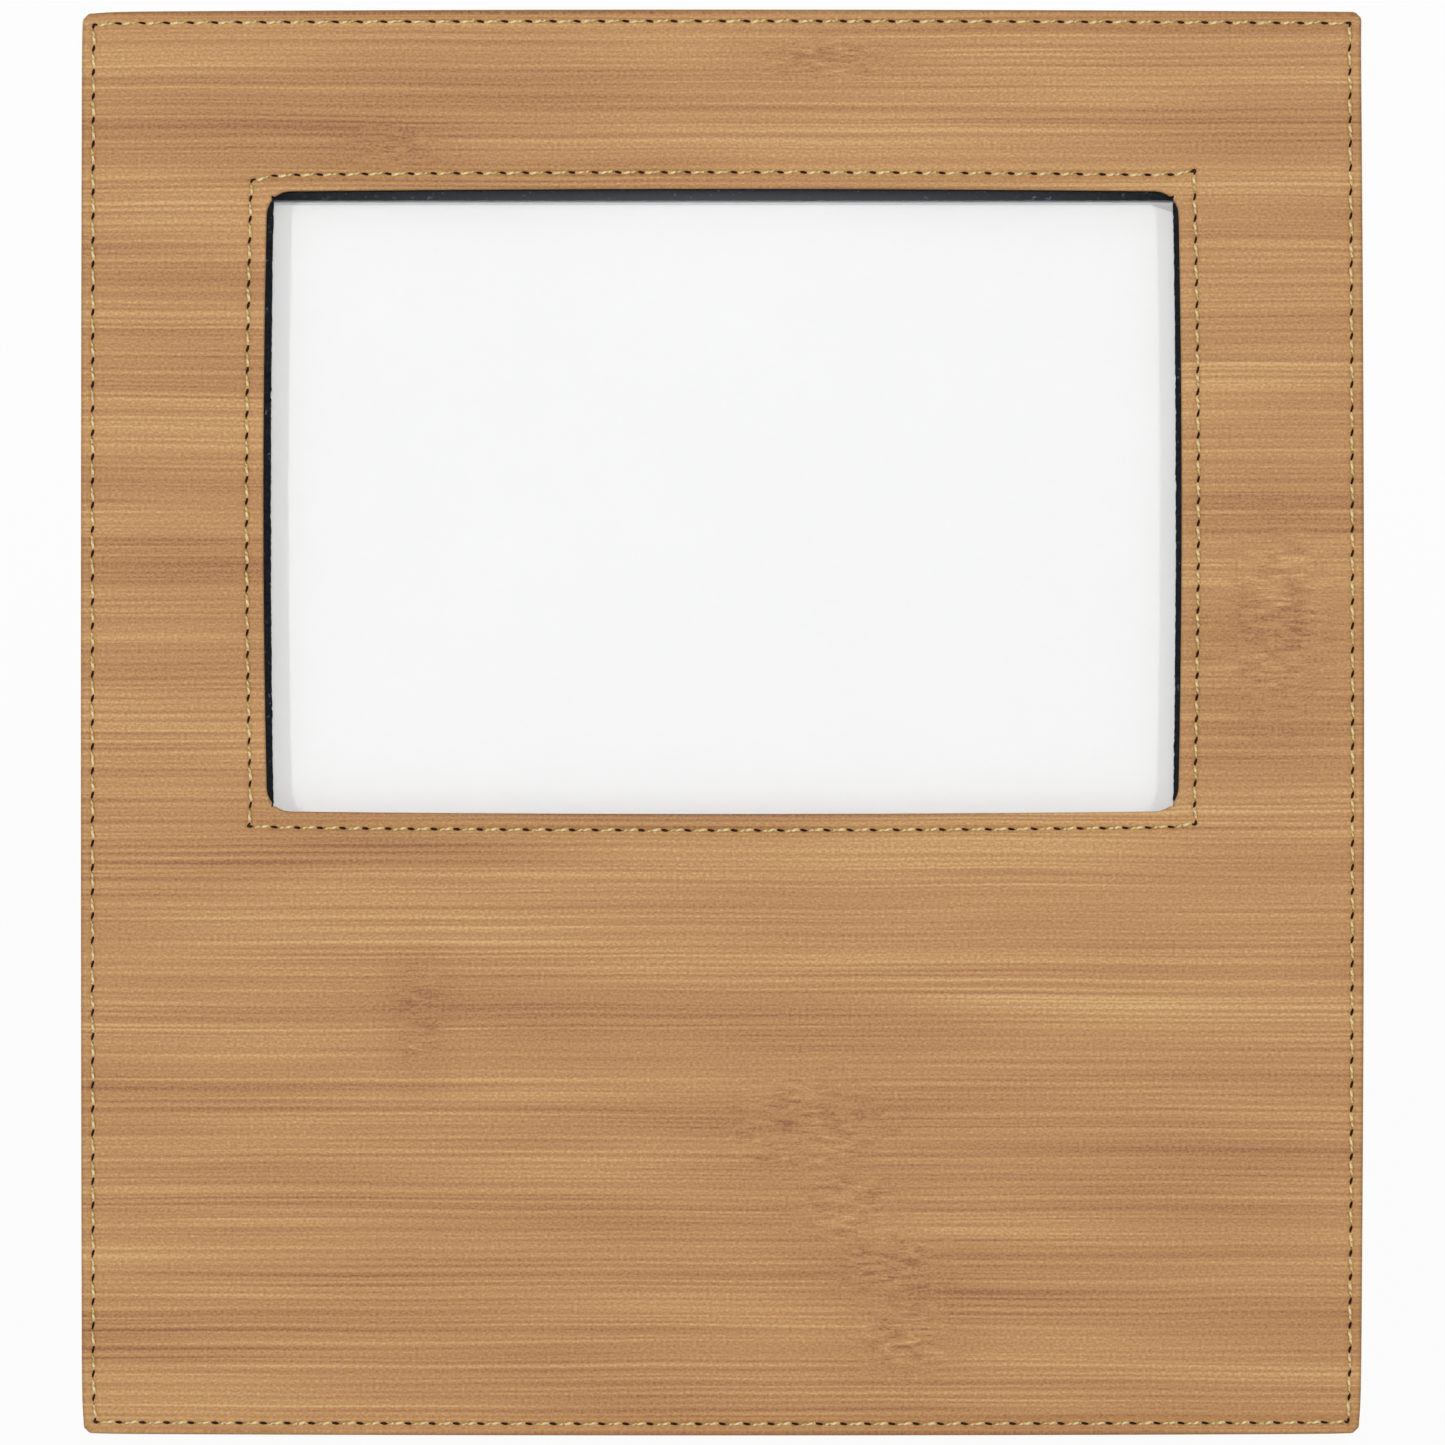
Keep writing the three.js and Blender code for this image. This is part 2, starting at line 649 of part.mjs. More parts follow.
// What the pocket holds
const pocketBottom = windowMiddle - pocketHeight / 2;
const insertTop = windowTop - INSERT_BELOW_WINDOW_TOP;
const insertHeight = insertTop - pocketBottom - POCKET_CLEARANCE;
const packWidth = GLASS_WIDTH;
piece(
  upright,
  "glass",
  sheet(outline(GLASS_WIDTH, GLASS_HEIGHT, 0.4, windowMiddle), glassFront, glassBack),
  clearGlass,
);
piece(
  upright,
  "photo_insert",
  sheet(outline(packWidth, insertHeight, 0.4, insertTop - insertHeight / 2), insertFront, insertBack),
  whitePaper,
);
piece(
  upright,
  "packing_card",
  sheet(outline(packWidth, GLASS_HEIGHT, 0.4, windowMiddle), cardFront, cardBack),
  paleCard,
);

// Back panel, with rivet holes that are sunk on the inside
const panelRivets = [-1, 1].map((side) => ({
  x: (side * PANEL_RIVET_SPACING) / 2,
  z: HINGE_HEIGHT + RIVET_FROM_PIN,
}));
const clenchBack = panelFront + LAYER_GAP + RIVET_HEAD_HEIGHT;
piece(
  upright,
  "back_panel",
  cut(
    sheet(outline(panelWidth, panelHeight, 0.4, windowMiddle), panelFront, panelBack),
    ...panelRivets.map(({ x, z }) => round(rivetHole, panelFront - 1, panelBack + 1, x, z)),
    ...panelRivets.map(({ x, z }) =>
      round(RIVET_HEAD_RADIUS + LAYER_GAP, panelFront - 1, clenchBack + LAYER_GAP, x, z),
    ),
  ),
  blackPaper,
);
const panelLeafBack = panelBack + LAYER_GAP + LEAF_THICKNESS;
const panelRivet = turned([
  [0, clenchBack - RIVET_HEAD_HEIGHT],
  [RIVET_HEAD_RADIUS, clenchBack - RIVET_HEAD_HEIGHT],
  [RIVET_HEAD_RADIUS, clenchBack],
  [RIVET_RADIUS, clenchBack],
  [RIVET_RADIUS, panelLeafBack + LAYER_GAP],
  ...rivetDome(panelLeafBack + LAYER_GAP),
]);
panelRivets.forEach(({ x, z }, index) => {
  piece(upright, `panel_rivet_${index + 1}`, panelRivet, platedSteel).position.set(x, 0, z);
});

// Turn buttons and screws
const button = buttonGeometry();
const screw = screwGeometry();
buttonPlaces().forEach(({ x, z, turn }, index) => {
  const place = new THREE.Group();
  place.name = `turn_button_${index + 1}_axis`;
  place.position.set(x, bodyBack, z);
  upright.add(place);
  piece(place, `turn_button_${index + 1}`, button, platedSteel).rotation.y = turn;
  piece(place, `screw_${index + 1}`, screw, platedSteel);
});

// The leg turns on the hinge pin. It is as long as it takes to reach the table when it is open.
const hinge = new THREE.Group();
hinge.name = "leg_hinge";
hinge.position.set(0, pinDepth, HINGE_HEIGHT);
upright.add(hinge);
piece(hinge, "panel_leaf", panelLeafGeometry(), platedSteel);
piece(hinge, "hinge_pin", pinGeometry(), platedSteel);
upright.rotation.x = -lean;
upright.updateMatrixWorld(true);
const table = new THREE.Box3().setFromObject(cover, true).min.z;
const pinAboveTable = hinge.getWorldPosition(new THREE.Vector3()).z - table;
const legSlope = legOpen - lean;
const legLength = (pinAboveTable + legInnerFace * Math.sin(legSlope)) / Math.cos(legSlope);

const leg = new THREE.Group();
leg.rotation.x = legOpen;
hinge.add(leg);
piece(leg, "easel_leg", legGeometry(legLength), blackPaper);
piece(leg, "leg_leaf", legLeafGeometry(), platedSteel);
const sunkRadius = RIVET_RADIUS + LEAF_THICKNESS;
const legRivet = turned([
  [0, -knuckleRadius],
  [sunkRadius, -knuckleRadius],
  [RIVET_RADIUS, -knuckleBore],
  [RIVET_RADIUS, legOuterFace + LAYER_GAP],
  ...rivetDome(legOuterFace + LAYER_GAP),
]);
[-1, 1].forEach((side, index) => {
  const rivet = piece(leg, `leg_rivet_${index + 1}`, legRivet, platedSteel);
  rivet.position.set((side * LEG_RIVET_SPACING) / 2, 0, -RIVET_FROM_PIN);
});

// Stand the leaned frame on the table, with the origin under the middle of its box.
const frame = new THREE.Group();
frame.add(upright);
frame.updateMatrixWorld(true);
const box = new THREE.Box3().setFromObject(frame, true);
const middle = box.getCenter(new THREE.Vector3());
upright.position.set(-middle.x, -middle.y, -table);

export default frame;
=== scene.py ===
import json
import math
import random

import bmesh
import bpy
from mathutils import Matrix, Vector


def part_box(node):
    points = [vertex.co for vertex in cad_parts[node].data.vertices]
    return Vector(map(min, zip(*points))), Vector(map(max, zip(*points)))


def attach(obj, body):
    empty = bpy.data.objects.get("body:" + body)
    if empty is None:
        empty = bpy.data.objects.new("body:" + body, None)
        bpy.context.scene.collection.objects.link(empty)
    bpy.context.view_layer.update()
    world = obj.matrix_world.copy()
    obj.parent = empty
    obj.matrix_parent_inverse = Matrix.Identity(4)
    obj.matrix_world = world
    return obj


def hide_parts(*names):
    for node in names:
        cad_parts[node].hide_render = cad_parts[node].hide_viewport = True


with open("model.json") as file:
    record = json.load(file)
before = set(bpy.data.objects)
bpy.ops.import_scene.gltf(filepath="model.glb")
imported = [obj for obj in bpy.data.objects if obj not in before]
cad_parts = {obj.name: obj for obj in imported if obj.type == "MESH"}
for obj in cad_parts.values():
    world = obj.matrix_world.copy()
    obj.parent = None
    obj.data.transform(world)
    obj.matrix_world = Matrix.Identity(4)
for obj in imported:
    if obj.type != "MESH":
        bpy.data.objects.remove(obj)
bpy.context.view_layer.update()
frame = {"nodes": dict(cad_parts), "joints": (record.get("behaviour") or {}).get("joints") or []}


# Front cover
# One sheet of foam-backed leatherette, printed with a horizontal bamboo grain. It is sewn round the
# edge and round the window, glued over the boards, wrapped round the sides and hemmed on the back.
# At the window it is slit at the four corners, rolled over the edge and turned in.
MM = 0.001
COVER = frame["nodes"]["front_cover"]
BACK = Vector(next(j for j in frame["joints"] if j["name"] == "button_1_turn")["axis"]).normalized()
RIGHT = Vector((1, 0, 0))
UP = RIGHT.cross(BACK)
face_depth = min(v.co.dot(BACK) for v in COVER.data.vertices)
back_depth = max(v.co.dot(BACK) for v in COVER.data.vertices)
low_edge = min(v.co.dot(UP) for v in COVER.data.vertices)
high_edge = max(v.co.dot(UP) for v in COVER.data.vertices)
LEFT_LOW_FRONT = BACK * face_depth + UP * low_edge

# Upright millimetres (across, into the frame, up the face) to the leaning frame's metres.
LEAN = Matrix.Translation(LEFT_LOW_FRONT) @ Matrix((RIGHT, BACK, UP)).transposed().to_4x4()
LEAN = LEAN @ Matrix.Scale(MM, 4)

WIDTH = (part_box("front_cover")[1].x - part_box("front_cover")[0].x) / MM
HEIGHT = (high_edge - low_edge) / MM
DEPTH = (back_depth - face_depth) / MM
SKIN = 0.9
HEM = 9.5
EDGE_SEAM_INSET = 2.1
WINDOW_WIDTH = 163.7
WINDOW_HEIGHT = 111.4
WINDOW_MIDDLE = HEIGHT - 31.9 - WINDOW_HEIGHT / 2
WINDOW_SEAM_OUTSET = 2.9
HEM_CHAMFER = 0.1
FLAP = 12
FLAP_BACK = 2.8
FLAP_FRONT = 2.3
WINDOW_ROLL = 0.3
FIELD_START = 2.6
EDGE_ROUNDING = 0.12
HEM_ROUNDING = 0.5
WINDOW_ROUNDING = 4.2
WINDOW_NOTCH = 0.7
CORNER_ANGLES = (0, 15, 30, 38, 42, 45, 48, 52, 60, 75, 90)
CORNER_CUT = 1.49
NOTCH = {42: 0.35, 45: 1.0, 48: 0.35}
HOLE_SHARES = (0, 0.1, 0.15, 0.2, 0.5, 0.8, 0.85, 0.9)
SLIT_HALF_LENGTH = 0.72
SLIT_HALF_WIDTH = 0.21
SLIT_DEPTH = 0.45
SLIT_SLANTS = (-0.18, -0.36)
SLANT_REACH = 0.8
SEAM_DIP = 0.36
SEAM_DIP_WIDTH = 0.62
STITCH_PITCH = 4.2
CORNER_HOLE_DEPTH = 0.5
CORNER_HOLE_OUT = (-0.15, 0.3)
# Painted shade: the near-black painted into the needle slits, the corner holes and the window's corner
# slits.
PAINTED_HOLE_SHADE = (0.006, 0.004, 0.003, 1)
ROUND_SAVING = 0.4

# The cane's joints in the print: across, up, half width and half height, in millimetres.
KNUCKLES = (
    (15, 55, 18, 12), (22, 41, 13, 9), (30, 30, 14, 10), (32, 17, 11, 10), (99, 145, 12, 24),
    (19, 245, 15, 5), (-59, 229, 12, 5), (-54, 75, 5, 12),
)
SEAM_RINGS = (1.0, 0.6, 0.36, 0.26, 0.2, 0.12, 0, -0.12, -0.2, -0.26, -0.36)


class Seam:
    """The needle holes round a rectangle, and the rings of the cover that run beside them."""

    def __init__(self, width, height, middle, wide, high, bow, strays):
        self.half = (width / 2, height / 2)
        self.middle = middle
        self.counts = (wide, high, wide, high)
        self.bow = bow
        self.strays = strays

    def stations(self):
        """Clockwise from the top left corner: (side, share along it, corner angle or None)."""
        found = []
        for side in range(4):
            found += [(side, 0, angle) for angle in CORNER_ANGLES]
            for stitch in range(self.counts[side]):
                for share in HOLE_SHARES:
                    if stitch or share:
                        found.append((side, (stitch + share) / self.counts[side], None))
        return found

    def gap(self, station):
        """Signed distance along the side to the nearest needle hole."""
        side, share, angle = station
        if angle is not None:
            return 0
        place = share * self.counts[side]
        length = 2 * self.half[side % 2]
        return (place - round(place)) * length / self.counts[side]

    def outwards(self, station):
        """The direction away from the middle of the rectangle."""
        side, share, angle = station
        normal = Matrix.Rotation(-side * math.pi / 2, 2) @ Vector((0, 1))
        return normal if angle is None else Matrix.Rotation(math.radians(90 - angle), 2) @ normal

    def flat(self, station, out, rounding=EDGE_ROUNDING, notch=0):
        """Where a station lies on a ring that is out from the needle line, before it bows."""
        side, share, angle = station
        normal = self.outwards((side, share, None))
        along = Vector((normal.y, -normal.x))
        inner = min(out, 0) - rounding
        if angle is not None:
            outwards = self.outwards(station)
            corner = normal - along
            place = Vector((corner.x * (self.half[0] + inner), corner.y * (self.half[1] + inner)))
            longer, shorter = sorted((abs(outwards.x), abs(outwards.y)), reverse=True)
            squarer = min(1 / longer, CORNER_CUT / (longer + shorter)) - 1
            place += outwards * (max(out, 0) + rounding) * (1 + squarer * max(0, min(1, out - 0.4)))
            return place + corner.normalized() * notch * NOTCH.get(angle, 0)
        long, short = self.half[side % 2], self.half[(side + 1) % 2]
        return along * (2 * share - 1) * (long + inner) + normal * (short + out)

    def bowed(self, place):
        """The hand-laid cover bows outwards between its corners, and its corner holes stray."""
        across = max(-1, min(1, place.x / self.half[0]))
        up = max(-1, min(1, place.y / self.half[1]))
        left, right, top, bottom = self.bow
        moved = place.copy()
        moved.x -= across ** 3 * up ** 2 * (right if across > 0 else left)
        moved.y -= up ** 3 * across ** 2 * (top if up > 0 else bottom)
        for (sign_x, sign_y), (stray_x, stray_y) in self.strays.items():
            near = max(0, sign_x * across) ** 40 * max(0, sign_y * up) ** 40
            moved += Vector((stray_x, stray_y)) * near
        return Vector((moved.x, moved.y + self.middle))

    def hole(self, side, stitch):
        """The needle hole that starts a stitch."""
        if stitch == 0:
            return self.bowed(self.flat((side, 0, 45), 0))
        return self.bowed(self.flat((side, stitch / self.counts[side], None), 0))


EDGE_SEAM = Seam(
    WIDTH - 2 * EDGE_SEAM_INSET, HEIGHT - 2 * EDGE_SEAM_INSET, HEIGHT / 2, 52, 58,
    (0.2, 0.6, 0.4, 0.3),
    {(-1, 1): (0.1, -0.3), (1, 1): (0.1, 0.0), (1, -1): (-0.3, 0.1), (-1, -1): (0.3, 0.1)},
)
WINDOW_SEAM = Seam(
    WINDOW_WIDTH + 2 * WINDOW_SEAM_OUTSET, WINDOW_HEIGHT + 2 * WINDOW_SEAM_OUTSET, WINDOW_MIDDLE, 41, 30,
    (0.85, 0.8, 0.6, 0.6),
    {(-1, 1): (0.2, -0.9), (1, 1): (0.1, 0.9), (1, -1): (0.3, 0.6), (-1, -1): (-0.5, 0.2)},
)


def seam_dip(seam, station, out):
    """How far the thread pulls the cover in, and where a needle slit is, which is painted near-black as
    its shade.
    """
    dip = SEAM_DIP * math.exp(-((out / SEAM_DIP_WIDTH) ** 2))
    if station[2] is not None:
        in_hole = CORNER_HOLE_OUT[0] < out < CORNER_HOLE_OUT[1]
        return dip + CORNER_HOLE_DEPTH * in_hole, float(in_hole)
    gap = seam.gap(station)
    pull = 0.7 + 0.3 * math.cos(2 * math.pi * gap / STITCH_PITCH)
    in_slit = (gap / SLIT_HALF_LENGTH) ** 2 + (out / SLIT_HALF_WIDTH) ** 2 < 1
    return dip * pull + SLIT_DEPTH * in_slit, float(in_slit)


def extrude_ring(bm, edges):
    """Extrudes a loop of edges. Returns the new verts and the new loop."""
    made = bmesh.ops.extrude_edge_only(bm, edges=edges)["geom"]
    verts = [item for item in made if isinstance(item, bmesh.types.BMVert)]
    fresh = set(verts)
    loops = [item for item in made if isinstance(item, bmesh.types.BMEdge)]
    return verts, [edge for edge in loops if fresh.issuperset(edge.verts)]


def numbered_ring(bm, segments, number, **settings):
    """A ring of verts that carry their own number. Returns the verts and the edges."""
    verts = bmesh.ops.create_circle(bm, segments=segments, radius=1, **settings)["verts"]
    for index, vert in enumerate(verts):
        vert[number] = index
    ring = set(verts)
    return verts, [edge for edge in bm.edges if ring.issuperset(edge.verts)]


def loft(bm, seam, rings):
    """Rings of the sheet, one extruded from the last: (out, depth, sheet place, rounding, notch)."""
    number = bm.verts.layers.int.get("station") or bm.verts.layers.int.new("station")
    sheet = bm.verts.layers.float_vector.get("sheet") or bm.verts.layers.float_vector.new("sheet")
    dark = bm.verts.layers.float.get("dark") or bm.verts.layers.float.new("dark")
    stations = seam.stations()
    verts, edges = numbered_ring(bm, len(stations), number)
    first = edges
    for step, (out, depth, unrolled, rounding, notch) in enumerate(rings):
        if step:
            verts, edges = extrude_ring(bm, edges)
        for vert in verts:
            station = stations[vert[number]]
            gap = seam.gap(station)
            near = max(0, 1 - abs(out) / 0.6) if unrolled is None else 0
            slant = SLIT_SLANTS[station[0] % 2] * max(-0.5, min(0.5, gap)) * (abs(gap) < SLANT_REACH)
            place = seam.bowed(seam.flat(station, out + slant * near, rounding, notch))
            dip, slit = seam_dip(seam, station, out) if unrolled is None else (0, 0)
            vert.co = Vector((place.x, depth + dip, place.y))
            run_on = seam.outwards(station) * (0 if unrolled is None else unrolled - out)
            vert[sheet] = Vector((place.x + run_on.x, place.y + run_on.y, 0))
            # The needle slits, corner holes and corner slits are marked dark, to be painted near-black as
            # shade.
            in_notch = notch > 0.3 and NOTCH.get(station[2], 0) > 0.5
            vert[dark] = 1.0 if in_notch else slit
    return first, edges


def arc(start, end, out, depth, radius, steps=4):
    """Points of a quarter round in a profile: angles in degrees, from outwards to the face."""
    angles = [math.radians(start + (end - start) * i / steps) for i in range(steps + 1)]
    return [(out + radius * math.cos(a), depth + radius * math.sin(a)) for a in angles]


def cover_profile():
    """The rings round the outer edge, from inside the cover, round the hem and the side to the face."""
    edge = EDGE_SEAM_INSET
    inside = edge - SKIN
    rings = [
        (-FIELD_START, SKIN, -FIELD_START, EDGE_ROUNDING, 0),
        (inside, SKIN, inside, EDGE_ROUNDING, 0),
        (inside, DEPTH - SKIN, edge + DEPTH, EDGE_ROUNDING, 0),
        (edge - HEM, DEPTH - SKIN, edge + DEPTH + HEM, HEM_ROUNDING, 0),
        (edge - HEM, DEPTH - HEM_CHAMFER, edge + DEPTH + HEM, HEM_ROUNDING, 0),
        (edge - HEM + HEM_CHAMFER, DEPTH, edge + DEPTH + HEM, HEM_ROUNDING, 0),
        (-1.0, DEPTH, edge + DEPTH + 3, EDGE_ROUNDING, 0),
    ]
    for out, depth in arc(90, 0, inside, DEPTH - SKIN, SKIN, 2):
        rings.append((out, depth, edge + depth, EDGE_ROUNDING, 0))
    rings.append((edge, DEPTH / 2, edge + DEPTH / 2, EDGE_ROUNDING, 0))
    for out, depth in arc(0, -90, inside, SKIN, SKIN):
        rings.append((out, depth, edge + depth - ROUND_SAVING, EDGE_ROUNDING, 0))
    for out in SEAM_RINGS + (-0.6, -1.0, -2.1, -FIELD_START):
        rings.append((out, 0, None, EDGE_ROUNDING, 0))
    return rings


def window_profile():
    """The rings round the window, from the face over the rolled edge, to the flap and back inside."""
    edge = -WINDOW_SEAM_OUTSET
    inside = edge + SKIN
    rings = [(out, 0, None, EDGE_ROUNDING, 0) for out in (FIELD_START, 2.1) + SEAM_RINGS]
    rings += [(-0.7, 0, None, 0.6, 0), (-1.3, 0, None, 1.5, 0)]
    for step, (out, depth) in enumerate(arc(-90, -180, edge + WINDOW_ROLL, WINDOW_ROLL, WINDOW_ROLL)):
        opened = (0.1, 0.25, 0.45, 0.6, WINDOW_NOTCH)[step]
        rings.append((out, depth, edge - depth, WINDOW_ROUNDING, opened))
    rings += [
        (edge, 2.0, edge - 2, WINDOW_ROUNDING, WINDOW_NOTCH),
        (edge, FLAP_BACK, edge - 3, WINDOW_ROUNDING, WINDOW_NOTCH),
        (edge + FLAP, FLAP_BACK, edge - FLAP, HEM_ROUNDING, 0),
        (edge + FLAP, FLAP_FRONT, edge - FLAP, HEM_ROUNDING, 0),
        (inside, FLAP_FRONT, edge - 2, 2.0, 0),
        (inside, SKIN, edge, 2.0, 0),
        (FIELD_START, SKIN, FIELD_START, EDGE_ROUNDING, 0),
    ]
    return rings


def finish_mesh(bm, name):
    """Puts a mesh built upright in millimetres into the leaning frame, as an object at the origin."""
    bmesh.ops.transform(bm, matrix=LEAN, verts=bm.verts)
    mesh = bpy.data.meshes.new(name)
    bm.to_mesh(mesh)
    bm.free()
    piece = bpy.data.objects.new(name, mesh)
    bpy.context.scene.collection.objects.link(piece)
    mesh.polygons.foreach_set("use_smooth", [True] * len(mesh.polygons))
    return piece


def add(tree, kind, inputs=None, **settings):
    """A shader node. An input is a value, or a socket to link."""
    node = tree.nodes.new("ShaderNode" + kind)
    for key, value in settings.items():
        setattr(node, key, value)
    for key, value in (inputs or {}).items():
        if isinstance(value, bpy.types.NodeSocket):
            tree.links.new(value, node.inputs[key])
        else:
            node.inputs[key].default_value = value
    return node


def material(name, **sockets):
    """A material with a Principled shader and its node tree."""
    made = bpy.data.materials.new(name)
    made.use_nodes = True
    made.node_tree.nodes.clear()
    shader = add(made.node_tree, "BsdfPrincipled", sockets)
    add(made.node_tree, "OutputMaterial", {"Surface": shader.outputs["BSDF"]})
    return made, made.node_tree, shader


def maths(tree, operation, first, second=0.0, third=0.0, clamp=False):
    node = add(tree, "Math", {0: first, 1: second, 2: third}, operation=operation, use_clamp=clamp)
    return node.outputs["Value"]


def noise(tree, vector, scale, detail=2.0, rough=0.5, distortion=0.0):
    node = add(tree, "TexNoise", {"Vector": vector, "Scale": scale, "Detail": detail, "Roughness": rough,
                                  "Distortion": distortion})
    return node.outputs["Fac"]


def stretch(tree, vector, size, place=(0, 0, 0)):
    node = add(tree, "Mapping", {"Vector": vector, "Scale": size, "Location": place})
    return node.outputs["Vector"]


def blend_colours(tree, share, first, second):
    node = add(tree, "Mix", {0: share, 6: first, 7: second}, data_type="RGBA")
    return node.outputs[2]


def ramp(tree, share, stops):
    """A colour ramp. stops are (place, colour)."""
    node = add(tree, "ValToRGB", {"Fac": share})
    elements = node.color_ramp.elements
    while len(elements) < len(stops):
        elements.new(0.5)
    for element, (place, colour) in zip(elements, stops):
        element.position = place
        element.color = (*colour, 1)
    return node.outputs["Color"]


def bamboo_leatherette():
    """Long streaks along the width, broken by a few knuckles, over broad warm and pale bands."""
    made, tree, shader = material("bamboo_leatherette", **{"Roughness": 0.55, "Specular IOR Level": 0.25})
    sheet = add(tree, "Attribute", attribute_name="sheet").outputs["Vector"]
    sway = noise(tree, stretch(tree, sheet, (0.015, 0.03, 1)), 1.0, 2.0)
    swayed = add(tree, "CombineXYZ", {"Y": maths(tree, "MULTIPLY_ADD", sway, 1.6, -0.8)})
    laid = add(tree, "VectorMath", {0: sheet, 1: swayed.outputs["Vector"]}, operation="ADD")
    laid = laid.outputs["Vector"]
    bands = noise(tree, stretch(tree, laid, (0.009, 0.075, 1)), 1.0, 2.0, 0.5)
    lines = noise(tree, stretch(tree, laid, (0.006, 1.25, 1)), 1.0, 2.0, 0.5)
    fine_lines = add(tree, "TexWave", {
        "Vector": stretch(tree, laid, (0.012, 1, 1)), "Scale": 0.27, "Distortion": 9.0, "Detail": 2.0,
        "Detail Scale": 1.6,
    }, wave_type="BANDS", bands_direction="Y").outputs["Fac"]
    clear = noise(tree, stretch(tree, laid, (0.014, 0.16, 1), (5, 1, 0)), 1.0, 1.0)
    strength = maths(tree, "MULTIPLY_ADD", clear, 1.3, 0.1)
    dashes = noise(tree, stretch(tree, laid, (0.22, 1.25, 1), (3, 9, 0)), 1.0, 3.0, 0.6, 0.7)
    knuckle, warm = knuckle_masks(tree, laid)
    streaks = maths(tree, "MULTIPLY_ADD", maths(tree, "SUBTRACT", fine_lines, 0.5), 0.26,
                    maths(tree, "SUBTRACT", lines, 0.5))
    streaks = maths(tree, "MULTIPLY", streaks, strength)
    broken = maths(tree, "MULTIPLY_ADD", dashes, 1.5, -0.75)
    streaks = add(tree, "Mix", {0: knuckle, 2: streaks, 3: broken}).outputs[0]
    speckle = noise(tree, stretch(tree, sheet, (1.7, 2.6, 1)), 1.0, 2.0, 0.6)
    tone = maths(tree, "MULTIPLY_ADD", maths(tree, "SUBTRACT", bands, 0.5), 0.85, 0.5)
    tone = maths(tree, "ADD", streaks, tone)
    tone = maths(tree, "MULTIPLY_ADD", maths(tree, "SUBTRACT", speckle, 0.5), 1.1, tone)
    tone = maths(tree, "MULTIPLY_ADD", warm, -0.1, tone)
    print_colour = ramp(tree, tone, [
        (0.05, (0.29, 0.125, 0.049)),
        (0.27, (0.424, 0.205, 0.080)),
        (0.42, (0.477, 0.244, 0.094)),
        (0.5, (0.510, 0.270, 0.106)),
        (0.58, (0.542, 0.294, 0.119)),
        (0.73, (0.612, 0.353, 0.141)),
        (0.95, (0.715, 0.468, 0.203)),
    ])
    # Painted shade: where the dark mark is set, the print is mixed to near-black.
    dark = add(tree, "Attribute", attribute_name="dark").outputs["Fac"]
    hole = add(tree, "MapRange", {"Value": dark, "From Min": 0.15, "From Max": 0.5}).outputs["Result"]
    colour = blend_colours(tree, hole, print_colour, PAINTED_HOLE_SHADE)
    tree.links.new(colour, shader.inputs["Base Color"])
    pores = noise(tree, sheet, 3.2, 3.0, 0.6)
    relief = maths(tree, "ADD", streaks, pores)
    bump = add(tree, "Bump", {"Height": relief, "Strength": 0.22, "Distance": 0.08 * MM})
    tree.links.new(bump.outputs["Normal"], shader.inputs["Normal"])
    return made


def knuckle_masks(tree, laid):
    """Where the cane's joints break the streaks up, and a warm zone round them."""
    closest = None
    for across, up, wide, high in KNUCKLES:
        patch = stretch(tree, laid, (1 / wide, 1 / high, 0), (-across / wide, -up / high, 0))
        reach = add(tree, "VectorMath", {0: patch}, operation="LENGTH").outputs["Value"]
        closest = reach if closest is None else maths(tree, "MINIMUM", closest, reach)
    ragged = maths(tree, "ADD", closest, noise(tree, stretch(tree, laid, (0.12, 0.5, 1)), 1.0, 2.0))
    knuckle = add(tree, "MapRange", {"Value": ragged, "From Min": 1.5, "From Max": 0.9}).outputs["Result"]
    warm = add(tree, "MapRange", {"Value": ragged, "From Min": 2.2, "From Max": 1.0}).outputs["Result"]
    return knuckle, warm


cover = bmesh.new()
inner_outline, outer_outline = loft(cover, EDGE_SEAM, cover_profile())
window_outline, inner_window = loft(cover, WINDOW_SEAM, window_profile())
bmesh.ops.triangle_fill(cover, use_beauty=True, edges=outer_outline + window_outline, normal=(0, -1, 0))
bmesh.ops.triangle_fill(cover, use_beauty=True, edges=inner_outline + inner_window, normal=(0, 1, 0))
bmesh.ops.recalc_face_normals(cover, faces=cover.faces)
leather = finish_mesh(cover, "leatherette_cover")
leather.data.materials.append(bamboo_leatherette())
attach(leather, "frame")
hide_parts("front_cover")


# Seams
# Two lines of cream twisted thread. Each stitch comes up out of one needle slit, lies a little aslant on
# the leatherette and goes down into the next.
THREAD_RADIUS = 0.28
STITCH_RINGS = 8
STITCH_SIDES = 6
STITCH_LENGTH = 2.9
STITCH_CLEAR = 0.145
STITCH_RISE = 0.88
STITCH_START_DEPTH = 0.7
STITCH_SLANT = 0.13


def stitch_shape(bm):
    """One stitch along X, proud along -Y: it climbs out of its slit, lies over and dives thinner."""
    along = bm.verts.layers.float_vector.new("along")
    number = bm.verts.layers.int.new("side")
    turn = Matrix.Rotation(math.pi / 2, 4, "Y")
    verts, edges = numbered_ring(bm, STITCH_SIDES, number, cap_ends=True, matrix=turn)
    ring_of = [vert.co.copy() for vert in verts]
    for step in range(STITCH_RINGS):
        share = step / (STITCH_RINGS - 1)
        if step:
            verts, edges = extrude_ring(bm, edges)
        rise = STITCH_RISE * math.sin(math.pi * share ** 0.8) ** 0.6 - STITCH_START_DEPTH
        lean = -STITCH_SLANT * math.cos(math.pi * share)
        thick = THREAD_RADIUS * (1.1 - 0.3 * share)
        for vert in verts:
            start = ring_of[vert[number]]
            vert.co = Vector((share * STITCH_LENGTH, start.y * thick - rise, start.z * thick + lean))
            vert[along] = Vector((share * STITCH_LENGTH, vert[number] / STITCH_SIDES, 0))
    bmesh.ops.holes_fill(bm, edges=edges, sides=STITCH_SIDES)
    bmesh.ops.recalc_face_normals(bm, faces=bm.faces)


